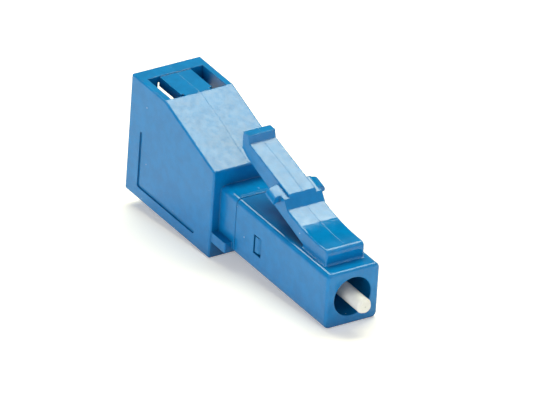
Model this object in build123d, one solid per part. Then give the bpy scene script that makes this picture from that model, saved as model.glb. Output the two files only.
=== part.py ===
from build123d import *
import math
import os

# All sizes in millimetres. +X runs along the optical axis out of the plug end, +Z is up and +Y is left.
# The origin lies on the optical axis in the plane of the plug's front face.

# Plug housing: the square snout that enters an adapter
plug_width = 4.70
plug_height = 4.76
plug_length = 13.01
plug_wall = 0.60
plug_corner_radius = 0.45
plug_front_edge_radius = 0.24
plug_rear_edge_chamfer = 0.05
plug_cavity_corner_radius = 0.20
bore_radius = 1.64
bore_depth = 4.40
bore_mouth_chamfer = 0.05
stop_thickness = 0.58
stop_hole_radius = 1.00

# Snap windows in the plug housing's sides, and the barbs that click into them
window_rear_offset = 2.62
window_length = 1.04
window_height = 1.60
window_drop = 0.11
barb_rear_gap = 0.13
barb_side_gap = 0.12
barb_front_gap = 0.05
barb_recess = 0.05
barb_ramp = 0.22

# Latch: a block on the snout, a curved strip, a narrower press bar with a finger lip, and two ears
latch_setback = 1.35
latch_strip_width = 3.40
latch_bar_width = 2.44
latch_ear_span = 4.74
latch_block_height = 1.27
latch_flat_length = 1.05
latch_block_edge_radius = 0.34
latch_strip_edge_radius = 0.13
latch_foot_radius = 0.16
latch_gap_start = 4.65
latch_gap_height = 0.19
latch_underside_angle = 17.2
latch_hinge_setback = 5.00
latch_hinge_gap = 0.02
latch_step_foot_setback = 7.08
latch_step_foot_height = 1.92
latch_step_run = 0.70
latch_step_rise = 0.92
latch_bar_angle = 14.3
latch_ear_rear_setback = 9.25
latch_ear_length = 1.14
latch_ear_drop = 0.20
latch_ear_thickness = 0.56
latch_ear_radius = 0.26
latch_lip_length = 0.96
latch_lip_height = 0.84
latch_lip_lean = 0.26
latch_lip_radius = 0.18
latch_tail_run = 0.95
latch_tail_rise = 0.28
latch_wall_gap = 0.80
latch_edge_radius = 0.08

# Adapter housing: the neck and spigot that carry the plug housing, and the body with the port
joint_line = 0.04
neck_length = 2.24
neck_edge_chamfer = 0.06
spigot_clearance = 0.03
spigot_wall = 0.23
spigot_nose = 0.22
spigot_nose_chamfer = 0.10
body_length = 12.20
side_wall = 0.70
floor_wall = 1.42
roof_wall = 0.54
shoulder_rise = 1.34
slope_length = 7.40
body_edge_radius = 0.16
key_length = 1.95
key_depth = 0.62
key_height = 0.86
key_edge_radius = 0.08
groove_width = 0.34
groove_depth = 0.12
groove_rear_offset = 1.85
groove_floor_offset = 1.17
groove_upright_length = 4.50
groove_run_length = 7.89

# Port in the adapter housing: it takes another plug of the same pattern
port_clearance = 0.04
port_web = 1.31
port_mouth_chamfer = 0.16
ear_pass_height = 1.95
channel_height = 3.32
channel_width = 3.04
strip_channel_width = 3.66
strip_channel_front_gap = 1.20
strip_channel_front_height = 1.45
channel_draft = 0.48
catch_wall = 1.34
ear_pocket_width = 5.00
bridge_width = 2.80
bridge_recess = 0.06
bridge_notch_length = 0.36
bridge_notch_depth = 0.24
bridge_rib_width = 0.20
bridge_rib_depth = 0.33

# Optical parts: ferrule, fibre, flange, spring, split sleeve and the parts that hold the sleeve
tip_projection = 1.80
ferrule_radius = 0.625
ferrule_tip_length = 0.22
ferrule_tip_inset = 0.14
fibre_radius = 0.0625
fibre_clearance = 0.0005
mating_face_gap = 0.25
mating_squeeze = 0.35
ferrule_travel = 0.80
press_line = 0.002
flange_stop_gap = 0.02
flange_cavity_gap = 0.22
flange_collar_thickness = 1.00
flange_notch_width = 0.46
flange_notch_depth = 0.26
flange_barrel_length = 2.60
flange_barrel_wall = 0.16
spring_wire_radius = 0.14
spring_wire_side_count = 6
spring_bore_clearance = 0.08
spring_turns = 5.5
sleeve_length = 6.80
sleeve_wall = 0.175
sleeve_relaxed_radius = 0.623
sleeve_running_clearance = 0.012
sleeve_held_reserve = 0.05
sleeve_flare_length = 0.60
sleeve_slot_width = 0.28
sleeve_end_chamfer = 0.05
sleeve_float = 0.06
holder_sleeve_clearance = 0.045
holder_tube_radius = 1.20
holder_cone_length = 0.50
holder_lip_length = 0.45
holder_lip_hole_radius = 0.72
holder_lead_in = 0.18
holder_bore_clearance = 0.02
seat_collar_thickness = 0.40
seat_nose_length = 0.80
seat_hole_clearance = 0.075

# Places along the optical axis, worked out from the lengths above
margin = 1.0
stop_front_x = -bore_depth
stop_rear_x = stop_front_x - stop_thickness
plug_rear_x = -plug_length
neck_front_x = plug_rear_x - joint_line
body_front_x = neck_front_x - neck_length
body_rear_x = body_front_x - body_length
slope_end_x = body_front_x - slope_length
port_end_x = body_front_x - port_web
catch_x = body_rear_x + catch_wall
window_rear_x = plug_rear_x + window_rear_offset
window_front_x = window_rear_x + window_length
spigot_front_x = window_front_x + spigot_nose

ferrule_rear_x = port_end_x - mating_face_gap + tip_projection - mating_squeeze
sleeve_front_x = ferrule_rear_x + sleeve_length / 2
sleeve_rear_x = sleeve_front_x - sleeve_length
seat_nose_x = sleeve_front_x + sleeve_float
holder_front_x = seat_nose_x + seat_nose_length
seat_front_x = holder_front_x + seat_collar_thickness
holder_cone_x = port_end_x + holder_cone_length
holder_pocket_x = sleeve_rear_x - sleeve_float
holder_rear_x = holder_pocket_x - holder_lip_length
collar_front_x = stop_rear_x - flange_stop_gap
collar_rear_x = collar_front_x - flange_collar_thickness
barrel_rear_x = collar_front_x - flange_barrel_length

# Heights and half widths shared by parts that mate
plug_top = plug_height / 2
plug_half_width = plug_width / 2
cavity_width = plug_width - 2 * plug_wall
cavity_height = plug_height - 2 * plug_wall
port_width = plug_width + 2 * port_clearance
port_height = plug_height + 2 * port_clearance
port_top = port_height / 2
floor_z = -port_top - floor_wall
channel_roof_z = port_top + channel_height
roof_z = channel_roof_z + roof_wall
shoulder_z = plug_top + shoulder_rise
body_width = port_width + 2 * side_wall
sleeve_outer_radius = ferrule_radius + sleeve_running_clearance + sleeve_wall
holder_pocket_radius = sleeve_outer_radius + holder_sleeve_clearance
spigot_width = cavity_width - 2 * spigot_clearance
spigot_height = cavity_height - 2 * spigot_clearance
neck_bore_radius = spigot_width / 2 - spigot_wall
holder_flange_radius = neck_bore_radius - holder_bore_clearance
flange_collar_radius = cavity_width / 2 - flange_cavity_gap
spring_coil_radius = neck_bore_radius - spring_bore_clearance - spring_wire_radius
flange_barrel_radius = ferrule_radius + flange_barrel_wall


def side_outline(*corners):
    """Closed face in the XZ plane through (x, z) corners."""
    return Plane.XZ * make_face(Polyline(*corners, close=True))


def slab(outline, width):
    """Solid of the given width, centred on the XZ plane."""
    return extrude(outline, amount=width / 2, both=True)


def block(x0, x1, width, z0, z1):
    """Box between two stations on the axis, centred on the XZ plane."""
    return Pos((x0 + x1) / 2, 0, (z0 + z1) / 2) * Box(abs(x1 - x0), width, abs(z1 - z0))


def prism(x0, x1, width, height, corner):
    """Rounded rectangular bar along the axis from station x0 to station x1."""
    section = Plane.YZ.offset(min(x0, x1)) * RectangleRounded(width, height, corner)
    return extrude(section, amount=abs(x1 - x0))


def turned(*corners):
    """Solid of revolution about the optical axis through (x, radius) corners."""
    return revolve(side_outline(*corners), Axis.X)


def rod(x0, x1, radius):
    """Plain cylinder on the optical axis from station x0 to station x1."""
    return turned((x0, 0), (x1, 0), (x1, radius), (x0, radius))


def both_sides(shape):
    """The shape and its mirror image across the XZ plane."""
    return shape + mirror(shape, Plane.XZ)


# Latch profile: named corners in the XZ plane, measured back from the front face and up from the snout's top
latch_front_x = -latch_setback
latch_flat_end_x = latch_front_x - latch_flat_length
latch_block_top_z = plug_top + latch_block_height
latch_hinge_x = -latch_hinge_setback
latch_gap_x = -latch_gap_start
latch_gap_z = plug_top + latch_gap_height
latch_rear_x = body_front_x + latch_wall_gap
latch_lip_front_x = latch_rear_x + latch_lip_length
latch_step_foot = (-latch_step_foot_setback, plug_top + latch_step_foot_height)
latch_step_top = (latch_step_foot[0] - latch_step_run, latch_step_foot[1] + latch_step_rise)
latch_ear_rear_x = -latch_ear_rear_setback
latch_ear_front_x = latch_ear_rear_x + latch_ear_length


def latch_underside(x):
    """Height of the latch's straight underside at station x."""
    return latch_gap_z + (latch_gap_x - x) * math.tan(math.radians(latch_underside_angle))


latch_tail_z = latch_underside(latch_rear_x) + latch_tail_rise


def latch_bar_top(x):
    """Height of the press bar's top at station x."""
    return latch_step_top[1] + (latch_step_top[0] - x) * math.tan(math.radians(latch_bar_angle))


def latch_ear_top(x):
    """Height of the ears' top at station x, a little below the press bar's top."""
    return latch_bar_top(x) - latch_ear_drop


def rounded_slab(corners, width):
    """Slab through convex (x, z) corners with every edge of its two side faces rounded."""
    shape = slab(side_outline(*corners), width)
    sides = shape.faces().sort_by(Axis.Y)
    return fillet(sides[0].edges() + sides[-1].edges(), latch_edge_radius)


def latch_strip():
    """Block on the snout and the curved strip behind it, rounded along both upper side edges."""
    block_top = (latch_flat_end_x, latch_block_top_z)
    front_top = (latch_front_x - latch_block_edge_radius, latch_block_top_z)
    front_low = (latch_front_x, latch_block_top_z - latch_block_edge_radius)
    strip_end = (latch_step_foot[0], latch_underside(latch_step_foot[0]))
    outline = [
        Line((latch_front_x, plug_top - margin), front_low),
        TangentArc(front_low, front_top, tangent=(0, 1)),
        Line(front_top, block_top),
        TangentArc(block_top, latch_step_foot, tangent=(-1, 0)),
        Line(latch_step_foot, strip_end),
        Line(strip_end, (latch_gap_x, latch_gap_z)),
        Line((latch_gap_x, latch_gap_z), (latch_gap_x, plug_top - margin)),
        Line((latch_gap_x, plug_top - margin), (latch_front_x, plug_top - margin)),
    ]
    strip = slab(Plane.XZ * make_face(outline), latch_strip_width)
    sides = strip.faces().sort_by(Axis.Y)
    upper_edges = [
        edge
        for edge in sides[0].edges() + sides[-1].edges()
        if edge.center().Z > latch_underside(edge.center().X) + latch_edge_radius
        and edge.center().X > latch_step_foot[0] + latch_edge_radius
    ]
    return fillet(upper_edges, latch_strip_edge_radius)


def latch_shoulders():
    """Raised shoulders behind the strip, at its width, that carry the ears. Their front is in line with the step."""
    step_slope = latch_step_rise / latch_step_run
    bar_slope = math.tan(math.radians(latch_bar_angle))
    shoulder_rise = latch_ear_top(latch_step_foot[0]) - latch_step_foot[1]
    shoulder_x = latch_step_foot[0] - shoulder_rise / (step_slope - bar_slope)
    corners = (
        (latch_step_foot[0], latch_underside(latch_step_foot[0])),
        latch_step_foot,
        (shoulder_x, latch_ear_top(shoulder_x)),
        (latch_ear_rear_x, latch_ear_top(latch_ear_rear_x)),
        (latch_ear_rear_x, latch_underside(latch_ear_rear_x)),
    )
    return slab(side_outline(*corners), latch_strip_width)


def latch_bar():
    """Press bar behind the step, cut away under its tail."""
    tail_x = latch_rear_x + latch_tail_run
    return rounded_slab(
        (
            (latch_step_foot[0], latch_underside(latch_step_foot[0])),
            latch_step_foot,
            latch_step_top,
            (latch_rear_x, latch_bar_top(latch_rear_x)),
            (latch_rear_x, latch_tail_z),
            (tail_x, latch_underside(tail_x)),
        ),
        latch_bar_width,
    )


def latch_lip():
    """Finger lip across the rear end of the press bar, leaning back and round on top."""
    low_z = latch_tail_z + latch_edge_radius
    foot_z = latch_bar_top(latch_lip_front_x)
    top_z = foot_z + latch_lip_height
    outline = side_outline(
        (latch_rear_x, low_z),
        (latch_rear_x, top_z),
        (latch_lip_front_x - latch_lip_lean, top_z),
        (latch_lip_front_x, foot_z),
        (latch_lip_front_x, low_z),
    )
    lip = slab(outline, latch_bar_width)
    lip = fillet(lip.edges().filter_by(Axis.Y).group_by(Axis.Z)[-1], latch_lip_radius)
    sides = lip.faces().sort_by(Axis.Y)
    return fillet(sides[0].edges() + sides[-1].edges(), latch_edge_radius)


def latch_ears():
    """The two ears that hook behind the catches of an adapter, round along their outer sides."""
    front_top_z = latch_ear_top(latch_ear_front_x)
    rear_top_z = latch_ear_top(latch_ear_rear_x)
    outline = side_outline(
        (latch_ear_front_x, front_top_z - latch_ear_thickness),
        (latch_ear_front_x, front_top_z),
        (latch_ear_rear_x, rear_top_z),
        (latch_ear_rear_x, rear_top_z - latch_ear_thickness),
    )
    ears = slab(outline, latch_ear_span)
    sides = ears.faces().sort_by(Axis.Y)
    long_edges = (sides[0].edges() + sides[-1].edges()).filter_by(Axis.Z, reverse=True)
    ears = fillet(long_edges, latch_ear_radius)
    ends = ears.faces().sort_by(Axis.X)
    return fillet(ends[0].edges() + ends[-1].edges(), latch_edge_radius)


def whole_latch():
    """The latch as moulded, from its root on the snout to the finger lip."""
    return latch_strip() + latch_shoulders() + latch_bar() + latch_lip() + latch_ears()


def make_latch_lever():
    """The part of the latch behind the flexing line."""
    behind = block(latch_hinge_x - latch_hinge_gap, body_rear_x, body_width, plug_top, roof_z + margin)
    return whole_latch() & behind


def make_plug_housing():
    """Snout with the ferrule bore, the flange stop, the spigot cavity, the windows and the latch's root."""
    shell = prism(plug_rear_x, 0, plug_width, plug_height, plug_corner_radius)
    shell = fillet(shell.faces().sort_by(Axis.X)[-1].edges(), plug_front_edge_radius)
    shell = chamfer(shell.faces().sort_by(Axis.X)[0].edges(), plug_rear_edge_chamfer)
    root = latch_strip() & block(latch_hinge_x, 0, body_width, plug_top - plug_wall / 2, roof_z)
    shell = shell + root
    foot_edges = shell.edges().filter_by_position(Axis.Z, plug_top - joint_line, plug_top + joint_line)
    foot_edges = foot_edges.filter_by_position(Axis.X, latch_gap_x + joint_line, latch_front_x + joint_line)
    foot_edges = foot_edges.filter_by_position(Axis.Y, -latch_strip_width / 2, latch_strip_width / 2)
    shell = fillet(foot_edges, latch_foot_radius)
    mouth = turned(
        (margin, 0),
        (margin, bore_radius + bore_mouth_chamfer),
        (0, bore_radius + bore_mouth_chamfer),
        (-bore_mouth_chamfer, bore_radius),
        (stop_front_x, bore_radius),
        (stop_front_x, stop_hole_radius),
        (stop_rear_x - margin, stop_hole_radius),
        (stop_rear_x - margin, 0),
    )
    cavity = prism(plug_rear_x - margin, stop_rear_x, cavity_width, cavity_height, plug_cavity_corner_radius)
    window_low_z = -window_height / 2 - window_drop
    windows = block(window_rear_x, window_front_x, plug_width + margin, window_low_z, window_low_z + window_height)
    return shell - mouth - cavity - windows


def make_spigot():
    """Square spigot with a chamfered nose and two snap barbs, seated in the plug housing's cavity."""
    spigot = prism(body_front_x, spigot_front_x, spigot_width, spigot_height, plug_cavity_corner_radius)
    spigot = chamfer(spigot.faces().sort_by(Axis.X)[-1].edges(), spigot_nose_chamfer)
    barb_rear_x = window_rear_x + barb_rear_gap
    barb_front_x = window_front_x - barb_front_gap
    barb_y = plug_half_width - barb_recess
    barb_low_z = -window_height / 2 - window_drop + barb_side_gap
    barb_outline = make_face(
        Polyline(
            (barb_rear_x, 0),
            (barb_rear_x, barb_y),
            ((barb_rear_x + barb_front_x) / 2, barb_y),
            (barb_front_x, barb_y - barb_ramp),
            (barb_front_x, 0),
            close=True,
        )
    )
    barb = extrude(Plane.XY.offset(barb_low_z) * barb_outline, amount=window_height - 2 * barb_side_gap)
    return spigot + both_sides(barb)


def make_groove():
    """Cutter for the L-shaped line on the housing's side: an upright leg and a long run with round ends."""
    corner_x = body_rear_x + groove_rear_offset
    corner_z = floor_z + groove_floor_offset
    upright = Pos(corner_x, corner_z + groove_upright_length / 2) * SlotCenterToCenter(
        groove_upright_length, groove_width, rotation=90
    )
    run = Pos(corner_x + groove_run_length / 2, corner_z) * SlotCenterToCenter(groove_run_length, groove_width)
    line = Plane.XZ.offset(body_width / 2 - groove_depth) * (upright + run)
    return both_sides(extrude(line, amount=margin))


def make_port():
    """Cutter for the port: plug cavity, ear passage, latch channel, ear pockets and the two top slots."""
    beyond_x = body_rear_x - margin
    plug_space = block(port_end_x, beyond_x, port_width, -port_top, port_top)
    ear_passage = block(slope_end_x, beyond_x, port_width, 0, port_top + ear_pass_height)
    channel = block(slope_end_x, beyond_x, channel_width, 0, channel_roof_z)
    pockets = block(slope_end_x, catch_x, ear_pocket_width, port_top, channel_roof_z - channel_draft)
    strip_front_x = port_end_x - strip_channel_front_gap
    strip_channel = slab(
        side_outline(
            (strip_front_x, 0),
            (strip_front_x, port_top + strip_channel_front_height),
            (slope_end_x, channel_roof_z - channel_draft),
            (catch_x, channel_roof_z),
            (catch_x, 0),
        ),
        strip_channel_width,
    )
    slots = block(slope_end_x, catch_x, ear_pocket_width, port_top, roof_z + margin)
    slots = slots - block(slope_end_x + margin, catch_x - margin, bridge_width, 0, roof_z + 2 * margin)
    notch_width = bridge_width - 2 * bridge_notch_depth
    notches = block(slope_end_x, slope_end_x - bridge_notch_length, ear_pocket_width, port_top, roof_z + margin)
    notches = notches - block(slope_end_x + margin, catch_x, notch_width, 0, roof_z + 2 * margin)
    recess = block(slope_end_x, catch_x, ear_pocket_width, roof_z - bridge_recess, roof_z + margin)
    ribs = block(slope_end_x, catch_x, bridge_width, channel_roof_z - bridge_rib_depth, channel_roof_z)
    ribs = ribs - block(slope_end_x, catch_x, bridge_width - 2 * bridge_rib_width, 0, roof_z)
    return plug_space + ear_passage + channel + pockets + strip_channel + slots + notches + recess - ribs


def make_adapter_housing():
    """Body with the port behind, the neck and spigot in front, and the stepped bore for the sleeve holder."""
    body = slab(
        side_outline(
            (body_front_x, floor_z),
            (body_front_x, shoulder_z),
            (slope_end_x, roof_z),
            (body_rear_x, roof_z),
            (body_rear_x, floor_z),
        ),
        body_width,
    )
    body = fillet(body.edges(), body_edge_radius)
    neck = prism(port_end_x, neck_front_x, plug_width, plug_height, plug_corner_radius)
    neck = chamfer(neck.faces().sort_by(Axis.X)[-1].edges(), neck_edge_chamfer)
    key_width = plug_width + 2 * key_depth
    key = block(port_end_x, body_front_x + key_length, key_width, -plug_top, key_height - plug_top)
    key = fillet(key.edges().filter_by(Axis.Z).group_by(Axis.X)[-1], key_edge_radius)
    bore = turned(
        (spigot_front_x + margin, 0),
        (spigot_front_x + margin, neck_bore_radius),
        (holder_cone_x, neck_bore_radius),
        (port_end_x, holder_tube_radius + holder_bore_clearance),
        (port_end_x - margin, holder_tube_radius + holder_bore_clearance),
        (port_end_x - margin, 0),
    )
    housing = body + neck + key + make_spigot() - bore - make_port() - make_groove()
    port_mouth = housing.faces().sort_by(Axis.X)[0].inner_wires()[0]
    return chamfer(port_mouth.edges(), port_mouth_chamfer)


def make_ferrule():
    """Ground rod with a tapered tip at each end and the fine bore for the fibre."""
    tip_radius = ferrule_radius - ferrule_tip_inset
    body = turned(
        (tip_projection, 0),
        (tip_projection, tip_radius),
        (tip_projection - ferrule_tip_length, ferrule_radius),
        (ferrule_rear_x + ferrule_tip_length, ferrule_radius),
        (ferrule_rear_x, tip_radius),
        (ferrule_rear_x, 0),
    )
    return body - rod(ferrule_rear_x - margin, tip_projection + margin, fibre_radius + fibre_clearance)


def make_fibre():
    """Doped fibre through the whole ferrule, polished flush at both ends."""
    return rod(ferrule_rear_x, tip_projection, fibre_radius)


def make_flange():
    """Metal flange on the ferrule: a notched collar that meets the stop, and a barrel that guides the spring."""
    body = turned(
        (collar_front_x, ferrule_radius + press_line),
        (collar_front_x, flange_collar_radius),
        (collar_rear_x, flange_collar_radius),
        (collar_rear_x, flange_barrel_radius),
        (barrel_rear_x, flange_barrel_radius),
        (barrel_rear_x, ferrule_radius + press_line),
    )
    notch = Pos(collar_front_x, 0, flange_collar_radius) * Box(
        2 * flange_collar_thickness, flange_notch_width, 2 * flange_notch_depth
    )
    for quarter_turn in range(4):
        body = body - Rot(90 * quarter_turn, 0, 0) * notch
    return body


def make_spring():
    """Compression spring from the seat to the flange's collar. Its round wire is drawn with a few flats."""
    length = collar_rear_x - seat_front_x - 2 * spring_wire_radius
    helix = Helix(length / spring_turns, length, spring_coil_radius)
    path = Pos(seat_front_x + spring_wire_radius, 0, 0) * Rot(0, 90, 0) * helix
    section = Plane(origin=path @ 0, z_dir=path % 0) * RegularPolygon(spring_wire_radius, spring_wire_side_count)
    return sweep(section, path=path, is_frenet=True)


def make_split_sleeve():
    """Slit tube: opened by the ferrule as far back as it travels, relaxed behind that."""
    held_radius = ferrule_radius + sleeve_running_clearance
    flare_front_x = ferrule_rear_x - ferrule_travel - sleeve_held_reserve
    flare_rear_x = flare_front_x - sleeve_flare_length
    body = turned(
        (sleeve_front_x, held_radius + sleeve_end_chamfer),
        (sleeve_front_x, sleeve_outer_radius),
        (sleeve_rear_x, sleeve_outer_radius),
        (sleeve_rear_x, sleeve_relaxed_radius + sleeve_end_chamfer),
        (sleeve_rear_x + sleeve_end_chamfer, sleeve_relaxed_radius),
        (flare_rear_x, sleeve_relaxed_radius),
        (flare_front_x, held_radius),
        (sleeve_front_x - sleeve_end_chamfer, held_radius),
    )
    slot = Pos((sleeve_front_x + sleeve_rear_x) / 2, 0, sleeve_outer_radius) * Box(
        sleeve_length + margin, sleeve_slot_width, 2 * sleeve_outer_radius
    )
    return body - slot


def make_sleeve_holder():
    """Turned tube that floats the split sleeve: wide in the neck, seated on a cone, slim in the port."""
    return turned(
        (holder_front_x, holder_pocket_radius),
        (holder_front_x, holder_flange_radius),
        (holder_cone_x, holder_flange_radius),
        (port_end_x, holder_tube_radius),
        (holder_rear_x + holder_lead_in / 2, holder_tube_radius),
        (holder_rear_x, holder_tube_radius - holder_lead_in / 2),
        (holder_rear_x, holder_lip_hole_radius + holder_lead_in),
        (holder_rear_x + holder_lead_in, holder_lip_hole_radius),
        (holder_pocket_x, holder_lip_hole_radius),
        (holder_pocket_x, holder_pocket_radius),
    )


def make_spring_seat():
    """Ring that closes the holder's front, traps the sleeve and carries the spring."""
    hole_radius = ferrule_radius + seat_hole_clearance
    return turned(
        (seat_front_x, hole_radius),
        (seat_front_x, holder_flange_radius),
        (holder_front_x, holder_flange_radius),
        (holder_front_x, holder_pocket_radius - press_line),
        (seat_nose_x, holder_pocket_radius - press_line),
        (seat_nose_x, hole_radius),
    )


pieces = {
    "plug_housing": make_plug_housing(),
    "latch_lever": make_latch_lever(),
    "adapter_housing": make_adapter_housing(),
    "ferrule": make_ferrule(),
    "attenuating_fibre": make_fibre(),
    "ferrule_flange": make_flange(),
    "coil_spring": make_spring(),
    "spring_seat": make_spring_seat(),
    "split_sleeve": make_split_sleeve(),
    "sleeve_holder": make_sleeve_holder(),
}

os.makedirs("parts", exist_ok=True)
for name, piece in pieces.items():
    export_step(piece, "parts/" + name + ".step")
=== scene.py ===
import math

import bmesh
import bpy
from mathutils import Matrix, Vector
from mathutils.bvhtree import BVHTree
from mathutils.geometry import barycentric_transform


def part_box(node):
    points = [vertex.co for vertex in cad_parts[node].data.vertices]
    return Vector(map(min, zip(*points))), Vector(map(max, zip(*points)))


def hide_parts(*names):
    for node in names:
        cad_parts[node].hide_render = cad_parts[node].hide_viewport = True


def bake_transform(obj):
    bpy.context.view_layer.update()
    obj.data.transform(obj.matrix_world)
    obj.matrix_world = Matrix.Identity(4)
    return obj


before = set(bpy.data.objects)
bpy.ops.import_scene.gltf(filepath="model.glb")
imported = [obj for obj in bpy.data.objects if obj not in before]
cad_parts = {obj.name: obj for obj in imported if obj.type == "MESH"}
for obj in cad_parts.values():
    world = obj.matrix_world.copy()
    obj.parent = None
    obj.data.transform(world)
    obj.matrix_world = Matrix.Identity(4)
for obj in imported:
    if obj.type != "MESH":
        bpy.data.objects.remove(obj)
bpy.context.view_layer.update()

# The frame is in metres. +X runs along the optical axis out of the plug end, +Z is up and +Y is left.
# Azimuths run from +X towards +Y, elevations run up from the level, and all angles are in degrees.
MM = 0.001

# Camera: the photograph's angle, fitted to the object's corners on an image 533 pixels wide
IMAGE_WIDTH = 533
SENSOR_WIDTH = 36.0
CAMERA_AZIMUTH = -34.09
CAMERA_ELEVATION = 29.71
CAMERA_ROLL = 3.84
CAMERA_DISTANCE = 1.35
CAMERA_REACH = 10
CAMERA_AIM = Vector((-12.48, -0.01, 2.01)) * MM
PIXELS_PER_METRE = 13110

# Floor: a little paler where it is seen than where it lights the object, with a faint glow to make it white
FLOOR_RADIUS = 0.5
FLOOR_COLOUR = (0.92, 0.92, 0.92, 1)
FLOOR_COLOUR_SEEN = (0.95, 0.94, 0.93, 1)
FLOOR_LIFT = 0.28
FLOOR_TRIES = 8
ROUND_SIDES = 96

# Studio light: a wide softbox behind, two fills in front and an even sky
WHITE = (1, 1, 1)
SOFTBOX_AZIMUTH = 148
SOFTBOX_ELEVATION = 57.2
SOFTBOX_SIZE = (0.62, 0.31)
SOFTBOX_RADIANCE = 7.6
SOFTBOX_COLOUR = (1.0, 0.99, 0.72)
SIDE_FILL_AZIMUTH = -83
SIDE_FILL_ELEVATION = 15
SIDE_FILL_RADIANCE = 2.65
FRONT_FILL_AZIMUTH = 5
FRONT_FILL_ELEVATION = 14
FRONT_FILL_RADIANCE = 2.4
FILL_SIZE = (0.5, 0.5)
LAMP_DISTANCE = 0.6
SKY_STRENGTH = 0.16

# Flags: a low wall around the object, seen by reflections alone. It is grey in front, and at the back it goes
# from a darker grey to black between the two fade elevations.
FLAG_RADIUS = 0.45
FLAG_TOP_ELEVATION = 42.2
FLAG_FADE_START = 30
FLAG_FADE_END = 34
FLAG_GREY = 0.24
FLAG_GREY_IN_FRONT = 0.55
FLAG_FRONT_FADE = 0.15

# In the materials, places and widths are in millimetres and scales are per millimetre. A pair of widths says
# where a line or a speck begins and where it is full. A noise's values lie mostly within the spread.
NOISE_SPREAD = (0.3, 0.7)

# Blue moulded plastic: glossy on the top and front, and matt on the flat sides
PLASTIC_BLUE = (0.001, 0.216, 0.572, 1)
PLASTIC_BLUE_DEEP = (0.001, 0.180, 0.493, 1)
# Painted shade: the darker blue that recesses are painted towards
PLASTIC_PAINTED_RECESS_SHADE = (0.001, 0.110, 0.295, 1)
PLASTIC_IOR = 1.43
CLOUD = {"scale": 0.9, "detail": 5.0, "roughness": 0.72}
CLOUD_SPREAD = (0.35, 0.65)
HAZE = {"scale": 2.2, "detail": 5.0}
HAZE_GLOSS = (0.41, 0.59)
WAVES = {"scale": 3.2, "detail": 3.0}
WAVES_ROUGHNESS = (0.05, 0.08)
WAVES_DEPTH = 0.0018 * MM
GRAIN = {"scale": 14.0, "detail": 2.0}
GRAIN_DEPTH = 0.0005 * MM
MATT_FACING = (0.8, 0.97)
MATT_ROUGHNESS = 0.26
MATT_GLOSS = 0.38

# Painted shade in recesses: how far around a place the openness is measured, and between which values the
# blue is darkened there as painted shade
RECESS_REACH = 2.5 * MM
RECESS_OPENNESS = (0.2, 0.95)
RECESS_SAMPLES = 6

# Edges catch the light as if they had this radius, apart from a narrow band along the latch's seam
EDGE_RADIUS = 0.11 * MM
EDGE_SAMPLES = 6
EDGE_OFF_SEAM = (0.14, 0.3)

# The mould's parting line lies at an offset from the middle, plus a slow noise of up to the wander
PARTING_OFFSET = -0.15
PARTING_WANDER = 0.5
PARTING_NOISE = {"scale": 0.12, "detail": 1.0}
PARTING_WIDTH = (0.04, 0.01)
PARTING_FACING = (0.75, 0.85)
PARTING_DEPTH = 0.006 * MM

# Specks lie at the middles of cells, with an uneven outline. Their radius is a share of the cell's size.
SPECK_COLOUR = (0.24, 0.46, 0.66, 1)
SPECK_CELLS = 0.6
SPECK_RADIUS = (0.065, 0.045)
SPECK_WOBBLE = 0.04
SPECK_NOISE = {"scale": 9.0, "detail": 1.0}

# Turned and ground pieces
TURNED_CLOUD = {"scale": 2.5, "detail": 4.0}
TURNED_SHADE = 0.95
TURNED_ROUGHNESS = (0.8, 1.2)
RING_DETAIL = 2.0
RING_DEPTH = 0.0015 * MM
ZIRCONIA_COLOUR = (0.79, 0.79, 0.78, 1)
ZIRCONIA_ROUGHNESS = 0.22
ZIRCONIA_RINGS = 30.0
PLATED_COLOUR = (0.72, 0.70, 0.66, 1)
PLATED_ROUGHNESS = 0.28
PLATED_RINGS = 14.0
STEEL_COLOUR = (0.58, 0.58, 0.58, 1)
STEEL_ROUGHNESS = 0.25
STEEL_RINGS = 20.0

# Glass fibre
CORE_COLOUR = (0.25, 0.26, 0.28, 1)
CLADDING_COLOUR = (0.60, 0.61, 0.60, 1)
CORE_EDGE = (0.006, 0.012)
GLASS_ROUGHNESS = 0.08
GLASS_IOR = 1.46

# The latch meets its root on the plug housing in this plane, and bends between it and a place behind it
LATCH_ROOT_X = -5.0 * MM
LATCH_BEND_LENGTH = 1.6 * MM
LATCH_BEND_STEPS = 8

# The latch's shading fades to its root's, and both are read this far to either side of the seam
SEAM_REACH = 0.04 * MM
SEAM_FADE = 0.7 * MM

# The ears fall away in a curve towards their tips
EAR_FRONT_X = -7.6 * MM
EAR_ROUND_START = 1.28 * MM
EAR_ROUND_END = 2.37 * MM
EAR_ROUND_STEPS = 8
EAR_DROP = 0.24 * MM

# Corners closer than this are one corner. A corner's face is looked up this share of the way to its middle.
WELD_DISTANCE = 0.001 * MM
NORMAL_INSET = 0.02

# The spring is drawn with round wire
SPRING_WIRE_RADIUS = 0.14 * MM
SPRING_WIRE_SIDES = 14
SPRING_TURNS = 5.5
SPRING_STEPS_PER_TURN = 36
SPRING_CREASE = 50


def direction(azimuth, elevation):
    """Unit vector at an azimuth and an elevation."""
    azimuth, elevation = math.radians(azimuth), math.radians(elevation)
    level = math.cos(elevation)
    return Vector((level * math.cos(azimuth), level * math.sin(azimuth), math.sin(elevation)))


def facing(place, axis):
    """Matrix of an object at a place whose own Z axis points along the given axis."""
    return Matrix.Translation(place) @ axis.to_track_quat("Z", "Y").to_matrix().to_4x4()


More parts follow.
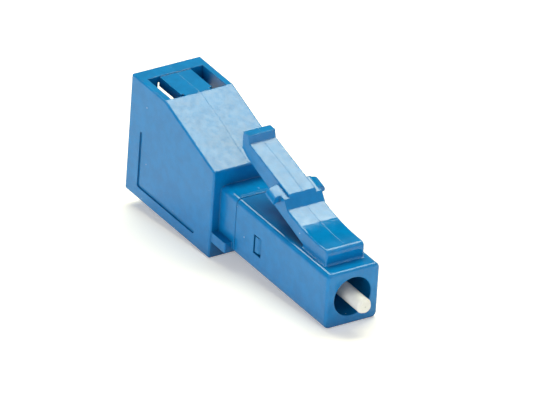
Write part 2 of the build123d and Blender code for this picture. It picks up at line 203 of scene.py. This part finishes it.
def make_camera():
    back = direction(CAMERA_AZIMUTH, CAMERA_ELEVATION)
    level_right = direction(CAMERA_AZIMUTH + 90, 0)
    roll = math.radians(CAMERA_ROLL)
    right = level_right * math.cos(roll) + back.cross(level_right) * math.sin(roll)
    data = bpy.data.cameras.new("photo_camera")
    data.sensor_width = SENSOR_WIDTH
    data.lens = PIXELS_PER_METRE * CAMERA_DISTANCE / IMAGE_WIDTH * SENSOR_WIDTH
    data.clip_end = CAMERA_REACH
    camera = bpy.data.objects.new("photo_camera", data)
    turn = Matrix((right, back.cross(right), back)).transposed().to_4x4()
    camera.matrix_world = Matrix.Translation(CAMERA_AIM + back * CAMERA_DISTANCE) @ turn
    bpy.context.scene.collection.objects.link(camera)
    bpy.context.scene.camera = camera


class Nodes:
    """Short calls for building a node tree."""

    # A Mix node's sockets go by number, because it has an A, a B and a result for each kind of value
    FACTOR, VALUE_A, VALUE_B, VALUE_RESULT = 0, 2, 3, 0
    COLOUR_A, COLOUR_B, COLOUR_RESULT = 6, 7, 2

    def __init__(self, owner):
        owner.use_nodes = True
        self.tree = owner.node_tree
        self.tree.nodes.clear()

    def feed(self, node, key, value):
        if isinstance(value, bpy.types.NodeSocket):
            self.tree.links.new(value, node.inputs[key])
        else:
            node.inputs[key].default_value = value

    def add(self, kind, inputs=None, **settings):
        node = self.tree.nodes.new("ShaderNode" + kind)
        for key, value in settings.items():
            setattr(node, key, value)
        for key, value in (inputs or {}).items():
            self.feed(node, key, value)
        return node

    def maths(self, operation, a, b=0.0):
        return self.add("Math", {0: a, 1: b}, operation=operation).outputs[0]

    def ramp(self, value, low, high, to_low=0.0, to_high=1.0):
        """Smooth step from to_low at low to to_high at high."""
        inputs = {"Value": value, "From Min": low, "From Max": high, "To Min": to_low, "To Max": to_high}
        return self.add("MapRange", inputs, interpolation_type="SMOOTHSTEP").outputs["Result"]

    def mix_colour(self, factor, a, b):
        inputs = {self.FACTOR: factor, self.COLOUR_A: a, self.COLOUR_B: b}
        return self.add("Mix", inputs, data_type="RGBA").outputs[self.COLOUR_RESULT]

    def mix_value(self, factor, a, b):
        inputs = {self.FACTOR: factor, self.VALUE_A: a, self.VALUE_B: b}
        return self.add("Mix", inputs, data_type="FLOAT").outputs[self.VALUE_RESULT]

    def split(self, vector):
        return self.add("SeparateXYZ", {0: vector}).outputs

    def normal_axes(self):
        return self.split(self.add("NewGeometry").outputs["Normal"])

    def place_mm(self):
        """Place in the part's frame, in millimetres."""
        own = self.add("TexCoord").outputs["Object"]
        return self.add("VectorMath", {0: own, "Scale": 1 / MM}, operation="SCALE").outputs[0]

    def place_along(self, axes):
        """Place along the optical axis alone."""
        return self.add("CombineXYZ", {"X": axes["X"]}).outputs[0]

    def noise(self, place, scale, detail, roughness=0.5):
        inputs = {"Vector": place, "Scale": scale, "Detail": detail, "Roughness": roughness}
        return self.add("TexNoise", inputs).outputs["Fac"]

    def bump(self, height, depth, normal=None):
        inputs = {"Height": height, "Distance": depth}
        if normal is not None:
            inputs["Normal"] = normal
        return self.add("Bump", inputs).outputs[0]

    def finish(self, shader, kind="OutputMaterial"):
        self.add(kind, {"Surface": shader})


def seen_directly(nodes):
    """1 on camera, glossy and transmission rays, and 0 on the rays that only carry light."""
    path = nodes.add("LightPath").outputs
    seen = nodes.maths("MAXIMUM", path["Is Camera Ray"], path["Is Glossy Ray"])
    return nodes.maths("MAXIMUM", seen, path["Is Transmission Ray"])


def floor_material():
    """White floor that keeps the object's shadow, clear from underneath."""
    material = bpy.data.materials.new("floor_white")
    nodes = Nodes(material)
    seen = seen_directly(nodes)
    colour = nodes.mix_colour(seen, FLOOR_COLOUR, FLOOR_COLOUR_SEEN)
    diffuse = nodes.add("BsdfDiffuse", {"Color": colour}).outputs[0]
    lift = nodes.add("Emission", {"Strength": nodes.maths("MULTIPLY", seen, FLOOR_LIFT)}).outputs[0]
    lit = nodes.add("AddShader", {0: diffuse, 1: lift}).outputs[0]
    clear = nodes.add("BsdfTransparent").outputs[0]
    underneath = nodes.add("NewGeometry").outputs["Backfacing"]
    nodes.finish(nodes.add("MixShader", {0: underneath, 1: lit, 2: clear}).outputs[0])
    return material


def resting_plane():
    """A point and the normal of the floor, which both housings' lowest edges touch, found in a few tries."""
    rear = [v.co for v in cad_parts["adapter_housing"].data.vertices]
    front = [v.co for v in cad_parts["plug_housing"].data.vertices]
    slope = 0.0
    for _ in range(FLOOR_TRIES):
        low_rear = min(rear, key=lambda p: p.z - slope * p.x)
        low_front = min(front, key=lambda p: p.z - slope * p.x)
        slope = (low_front.z - low_rear.z) / (low_front.x - low_rear.x)
    return Vector((low_rear.x, 0, low_rear.z)), Vector((-slope, 0, 1)).normalized()


def make_floor():
    bpy.ops.mesh.primitive_circle_add(vertices=ROUND_SIDES, radius=FLOOR_RADIUS, fill_type="NGON")
    floor = bpy.context.object
    floor.name = "floor"
    floor.matrix_world = facing(*resting_plane())
    floor.data.materials.append(floor_material())


def flag_material(fade_start, fade_end):
    """Glowing grey of the flags, whose fade at the back lies between two heights."""
    material = bpy.data.materials.new("flag_grey")
    nodes = Nodes(material)
    place = nodes.split(nodes.add("NewGeometry").outputs["Position"])
    behind = nodes.ramp(place["Z"], fade_start, fade_end, FLAG_GREY, 0.0)
    in_front = nodes.ramp(place["X"], -FLAG_FRONT_FADE, FLAG_FRONT_FADE)
    strength = nodes.mix_value(in_front, behind, FLAG_GREY_IN_FRONT)
    nodes.finish(nodes.add("Emission", {"Strength": strength}).outputs[0])
    return material


def make_flags():
    height, fade_start, fade_end = (
        FLAG_RADIUS * math.tan(math.radians(elevation))
        for elevation in (FLAG_TOP_ELEVATION, FLAG_FADE_START, FLAG_FADE_END)
    )
    bpy.ops.mesh.primitive_cylinder_add(
        vertices=ROUND_SIDES,
        radius=FLAG_RADIUS,
        depth=height,
        end_fill_type="NOTHING",
        location=(0, 0, height / 2),
    )
    wall = bpy.context.object
    wall.name = "studio_flags"
    wall.data.materials.append(flag_material(fade_start, fade_end))
    wall.visible_camera = False
    wall.visible_diffuse = False
    wall.visible_transmission = False
    wall.visible_shadow = False


def make_lamp(name, azimuth, elevation, size, radiance, colour=WHITE):
    """Rectangular soft light that faces the origin."""
    towards = direction(azimuth, elevation)
    data = bpy.data.lights.new(name, "AREA")
    data.shape = "RECTANGLE"
    data.size, data.size_y = size
    data.energy = radiance * math.pi * data.size * data.size_y
    data.color = colour
    lamp = bpy.data.objects.new(name, data)
    lamp.matrix_world = facing(towards * LAMP_DISTANCE, towards)
    bpy.context.scene.collection.objects.link(lamp)


def make_lamps():
    make_lamp("softbox", SOFTBOX_AZIMUTH, SOFTBOX_ELEVATION, SOFTBOX_SIZE, SOFTBOX_RADIANCE, SOFTBOX_COLOUR)
    make_lamp("side_fill", SIDE_FILL_AZIMUTH, SIDE_FILL_ELEVATION, FILL_SIZE, SIDE_FILL_RADIANCE)
    make_lamp("front_fill", FRONT_FILL_AZIMUTH, FRONT_FILL_ELEVATION, FILL_SIZE, FRONT_FILL_RADIANCE)


def make_sky():
    """White where it is seen, and dimmer where it lights."""
    world = bpy.data.worlds.new("studio")
    bpy.context.scene.world = world
    nodes = Nodes(world)
    strength = nodes.mix_value(seen_directly(nodes), SKY_STRENGTH, 1.0)
    background = nodes.add("Background", {"Strength": strength, "Color": (*WHITE, 1)})
    nodes.finish(background.outputs[0], "OutputWorld")


def parting_line(nodes, axes):
    """1 along the mould's parting line on the top faces."""
    noise = nodes.noise(nodes.place_along(axes), **PARTING_NOISE)
    wander = nodes.maths("MULTIPLY", noise, PARTING_WANDER)
    middle = nodes.maths("ADD", wander, PARTING_OFFSET)
    off_line = nodes.maths("ABSOLUTE", nodes.maths("SUBTRACT", axes["Y"], middle))
    facing_up = nodes.ramp(nodes.normal_axes()["Z"], *PARTING_FACING)
    return nodes.maths("MULTIPLY", nodes.ramp(off_line, *PARTING_WIDTH), facing_up)


def free_of_painted_shade(nodes):
    """1 on open surfaces, and less in recesses, where painted shade darkens the blue."""
    inputs = {"Distance": RECESS_REACH}
    openness = nodes.add("AmbientOcclusion", inputs, samples=RECESS_SAMPLES).outputs["AO"]
    return nodes.ramp(openness, *RECESS_OPENNESS)


def matt_sides(nodes):
    """1 on the flat sides, where the mould is etched a little rougher than on the top and front."""
    return nodes.ramp(nodes.maths("ABSOLUTE", nodes.normal_axes()["Y"]), *MATT_FACING)


def moulding_specks(nodes, place):
    """1 in a few tiny pale specks on the moulded skin."""
    cells = nodes.add("TexVoronoi", {"Vector": place, "Scale": SPECK_CELLS}).outputs
    wobble = nodes.maths("MULTIPLY", nodes.noise(place, **SPECK_NOISE), SPECK_WOBBLE)
    return nodes.ramp(nodes.maths("ADD", cells["Distance"], wobble), *SPECK_RADIUS)


def plastic_colour(nodes, place):
    """Cloudy blue, darkened in recesses by painted shade, with specks."""
    cloud = nodes.ramp(nodes.noise(place, **CLOUD), *CLOUD_SPREAD)
    blue = nodes.mix_colour(cloud, PLASTIC_BLUE_DEEP, PLASTIC_BLUE)
    # Painted shade: the blue is darkened in recesses, by how closed in they are
    shaded = nodes.mix_colour(free_of_painted_shade(nodes), PLASTIC_PAINTED_RECESS_SHADE, blue)
    return nodes.mix_colour(moulding_specks(nodes, place), shaded, SPECK_COLOUR)


def plastic_relief(nodes, place, waves):
    """Normal of the rounded edges, the soft waviness, the fine grain and the parting line."""
    axes = nodes.split(place)
    off_seam = nodes.maths("ABSOLUTE", nodes.maths("SUBTRACT", axes["X"], LATCH_ROOT_X / MM))
    edge_radius = nodes.ramp(off_seam, *EDGE_OFF_SEAM, 0.0, EDGE_RADIUS)
    rounded = nodes.add("Bevel", {"Radius": edge_radius}, samples=EDGE_SAMPLES).outputs[0]
    wavy = nodes.bump(waves, WAVES_DEPTH, rounded)
    grained = nodes.bump(nodes.noise(place, **GRAIN), GRAIN_DEPTH, wavy)
    return nodes.bump(nodes.maths("MULTIPLY", parting_line(nodes, axes), -1.0), PARTING_DEPTH, grained)


def plastic_material():
    """Glossy blue moulding with a cloudy tone, painted shade in recesses, soft waviness, fine grain, specks
    and a faint parting line.
    """
    material = bpy.data.materials.new("blue_plastic")
    nodes = Nodes(material)
    place = nodes.place_mm()
    waves = nodes.noise(place, **WAVES)
    matt = matt_sides(nodes)
    roughness = nodes.ramp(waves, *NOISE_SPREAD, *WAVES_ROUGHNESS)
    gloss = nodes.ramp(nodes.noise(place, **HAZE), *NOISE_SPREAD, *HAZE_GLOSS)
    shader = nodes.add(
        "BsdfPrincipled",
        {
            "Base Color": plastic_colour(nodes, place),
            "Roughness": nodes.mix_value(matt, roughness, MATT_ROUGHNESS),
            "Specular IOR Level": nodes.mix_value(matt, gloss, MATT_GLOSS),
            "Normal": plastic_relief(nodes, place, waves),
            "IOR": PLASTIC_IOR,
        },
    )
    nodes.finish(shader.outputs[0])
    return material


def turned_material(name, colour, roughness, ring_scale, metallic=0.0):
    """Hard material turned or ground about the optical axis, with fine rings and a cloudy finish."""
    material = bpy.data.materials.new(name)
    nodes = Nodes(material)
    place = nodes.place_mm()
    cloud = nodes.noise(place, **TURNED_CLOUD)
    rings = nodes.noise(nodes.place_along(nodes.split(place)), ring_scale, RING_DETAIL)
    red, green, blue, _ = colour
    shade = (TURNED_SHADE * red, TURNED_SHADE * green, TURNED_SHADE * blue, 1)
    smoothest, roughest = (share * roughness for share in TURNED_ROUGHNESS)
    shader = nodes.add(
        "BsdfPrincipled",
        {
            "Base Color": nodes.mix_colour(nodes.ramp(cloud, *NOISE_SPREAD), shade, colour),
            "Roughness": nodes.ramp(cloud, *NOISE_SPREAD, smoothest, roughest),
            "Metallic": metallic,
            "Normal": nodes.bump(rings, RING_DEPTH),
        },
    )
    nodes.finish(shader.outputs[0])
    return material


def zirconia_material():
    return turned_material("zirconia", ZIRCONIA_COLOUR, ZIRCONIA_ROUGHNESS, ZIRCONIA_RINGS)


def plated_material():
    return turned_material("plated_metal", PLATED_COLOUR, PLATED_ROUGHNESS, PLATED_RINGS, metallic=1.0)


def steel_material():
    return turned_material("spring_steel", STEEL_COLOUR, STEEL_ROUGHNESS, STEEL_RINGS, metallic=1.0)


def glass_material():
    """Polished end of the fibre: a doped core in clear cladding."""
    material = bpy.data.materials.new("doped_glass")
    nodes = Nodes(material)
    axes = nodes.split(nodes.place_mm())
    off_axis = nodes.add("CombineXYZ", {"X": axes["Y"], "Y": axes["Z"]}).outputs[0]
    radius = nodes.add("VectorMath", {0: off_axis}, operation="LENGTH").outputs["Value"]
    colour = nodes.mix_colour(nodes.ramp(radius, *CORE_EDGE), CORE_COLOUR, CLADDING_COLOUR)
    inputs = {"Base Color": colour, "Roughness": GLASS_ROUGHNESS, "IOR": GLASS_IOR}
    nodes.finish(nodes.add("BsdfPrincipled", inputs).outputs[0])
    return material


def new_piece(name, mesh, material):
    """Piece made from a working mesh, which is freed."""
    data = bpy.data.meshes.new(name)
    mesh.to_mesh(data)
    mesh.free()
    data.materials.append(material)
    piece = bpy.data.objects.new(name, data)
    bpy.context.scene.collection.objects.link(piece)
    return piece


def bisect(mesh, faces, place, across):
    """Cuts the faces by a plane."""
    edges = {edge for face in faces for edge in face.edges}
    corners = {corner for face in faces for corner in face.verts}
    bmesh.ops.bisect_plane(mesh, geom=[*corners, *edges, *faces], plane_co=place, plane_no=across)


def cut_bend(mesh, bend_end_x):
    """Cuts the latch across, at even steps over its bend behind its root."""
    for step in range(1, LATCH_BEND_STEPS):
        cut_x = LATCH_ROOT_X + (bend_end_x - LATCH_ROOT_X) * step / LATCH_BEND_STEPS
        bisect(mesh, mesh.faces[:], (cut_x, 0, 0), (1, 0, 0))


def cut_ears(mesh):
    """Cuts the ears lengthwise, so that they can curve."""
    for step in range(EAR_ROUND_STEPS):
        for side in (-1, 1):
            cut_y = side * (EAR_ROUND_START + (EAR_ROUND_END - EAR_ROUND_START) * step / EAR_ROUND_STEPS)
            ears = [face for face in mesh.faces if face.calc_center_median().x < EAR_FRONT_X]
            bisect(mesh, ears, (0, cut_y, 0), (0, 1, 0))


def round_ears(latch):
    """Lets the ears fall away in a curve towards their tips, with their shading."""
    mesh = latch.data
    normals = [corner.vector.copy() for corner in mesh.corner_normals]
    for loop, normal in zip(mesh.loops, normals):
        place = mesh.vertices[loop.vertex_index].co
        reach = abs(place.y) - EAR_ROUND_START
        if place.x < EAR_FRONT_X and reach > 0:
            slope = 2 * EAR_DROP * reach / (EAR_ROUND_END - EAR_ROUND_START) ** 2
            normal.y += math.copysign(slope, place.y) * normal.z
            normal.normalize()
    for vertex in mesh.vertices:
        reach = abs(vertex.co.y) - EAR_ROUND_START
        if vertex.co.x < EAR_FRONT_X and reach > 0:
            vertex.co.z -= EAR_DROP * (reach / (EAR_ROUND_END - EAR_ROUND_START)) ** 2
    mesh.normals_split_custom_set(normals)


def normal_finder(source):
    """Function that gives a CAD piece's shading normal at a corner, on the face nearest a point beside it."""
    places = [vertex.co for vertex in source.data.vertices]
    source.data.calc_loop_triangles()
    triangles = source.data.loop_triangles
    tree = BVHTree.FromPolygons(places, [triangle.vertices for triangle in triangles])

    def find(corner, beside):
        triangle = triangles[tree.find_nearest(beside)[2]]
        source_corners = [places[i] for i in triangle.vertices]
        source_normals = [source.data.corner_normals[i].vector for i in triangle.loops]
        return barycentric_transform(corner, *source_corners, *source_normals).normalized()

    return find


def copy_normals(latch, lever, root):
    """Shades the latch as the lever is shaded there, with a fade to the root's shade at the seam."""
    find_lever, find_root = normal_finder(lever), normal_finder(root)
    front = [vertex.co for vertex in latch.data.vertices if vertex.co.x > LATCH_ROOT_X - SEAM_REACH]
    seam = Vector((LATCH_ROOT_X, 0, max(place.z for place in front)))
    step = Vector((SEAM_REACH, 0, 0))
    turn = find_root(seam, seam + step).x - find_lever(seam, seam - step).x
    normals = []
    for face in latch.data.polygons:
        for index in face.vertices:
            corner = latch.data.vertices[index].co
            normal = find_lever(corner, corner.lerp(face.center, NORMAL_INSET))
            fade = 1 - (LATCH_ROOT_X - corner.x) / SEAM_FADE
            if fade > 0 and normal.z > 0:
                normal.x += turn * fade * normal.z
            normals.append(normal.normalized())
    latch.data.shade_smooth()
    latch.data.normals_split_custom_set(normals)


def make_latch(material):
    """The latch joined to its root without a step, cut across its bend, with rounded ears."""
    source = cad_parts["latch_lever"]
    front_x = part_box("latch_lever")[1][0]
    bend_end_x = LATCH_ROOT_X - LATCH_BEND_LENGTH
    mesh = bmesh.new()
    mesh.from_mesh(source.data)
    bmesh.ops.remove_doubles(mesh, verts=mesh.verts, dist=WELD_DISTANCE)
    cut_bend(mesh, bend_end_x)
    cut_ears(mesh)
    latch = new_piece("latch", mesh, material)
    copy_normals(latch, source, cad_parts["plug_housing"])
    round_ears(latch)
    for vertex in latch.data.vertices:
        if vertex.co.x > front_x - WELD_DISTANCE:
            vertex.co.x = LATCH_ROOT_X
    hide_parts("latch_lever")
    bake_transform(latch)


def wire_ring(mesh, middle, outward, across):
    """Corners round the wire at one place of the coil."""
    ring = []
    for side in range(SPRING_WIRE_SIDES):
        turn = 2 * math.pi * side / SPRING_WIRE_SIDES
        offset = outward * math.cos(turn) + across * math.sin(turn)
        ring.append(mesh.verts.new(middle + offset * SPRING_WIRE_RADIUS))
    return ring


def coil_rings(mesh, low, high):
    """Rings of corners along the wire, from the spring's rear end to its front end."""
    coil_radius = (high[1] - low[1]) / 2 - SPRING_WIRE_RADIUS
    length = high[0] - low[0] - 2 * SPRING_WIRE_RADIUS
    rise = length / (2 * math.pi * SPRING_TURNS * coil_radius)
    steps = int(SPRING_TURNS * SPRING_STEPS_PER_TURN)
    rings = []
    for step in range(steps + 1):
        share = step / steps
        angle = 2 * math.pi * SPRING_TURNS * share
        outward = Vector((0, math.cos(angle), math.sin(angle)))
        along = Vector((rise, -outward.z, outward.y)).normalized()
        middle = Vector((low[0] + SPRING_WIRE_RADIUS + length * share, 0, 0)) + outward * coil_radius
        rings.append(wire_ring(mesh, middle, outward, along.cross(outward)))
    return rings


def skin_rings(mesh, rings):
    """Closed skin over rings of corners."""
    for ring, following in zip(rings, rings[1:]):
        for side in range(len(ring)):
            after = (side + 1) % len(ring)
            mesh.faces.new((ring[side], ring[after], following[after], following[side]))
    mesh.faces.new(rings[0][::-1])
    mesh.faces.new(rings[-1])
    bmesh.ops.recalc_face_normals(mesh, faces=mesh.faces)


def make_spring(material):
    """Round-wire compression spring between the seat and the flange's collar."""
    low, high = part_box("coil_spring")
    mesh = bmesh.new()
    skin_rings(mesh, coil_rings(mesh, low, high))
    spring = new_piece("spring", mesh, material)
    spring.data.shade_smooth()
    spring.data.set_sharp_from_angle(angle=math.radians(SPRING_CREASE))
    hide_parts("coil_spring")
    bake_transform(spring)


def dress(name, material):
    """Gives a CAD piece that stays its finish."""
    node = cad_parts[name]
    node.data.materials.clear()
    node.data.materials.append(material)


bpy.context.scene.view_settings.view_transform = "Standard"
make_camera()
make_floor()
make_flags()
make_lamps()
make_sky()

plastic = plastic_material()
zirconia = zirconia_material()
plated = plated_material()
for name in ("plug_housing", "adapter_housing"):
    dress(name, plastic)
for name in ("ferrule", "split_sleeve"):
    dress(name, zirconia)
for name in ("ferrule_flange", "sleeve_holder", "spring_seat"):
    dress(name, plated)
dress("attenuating_fibre", glass_material())
make_latch(plastic)
make_spring(steel_material())
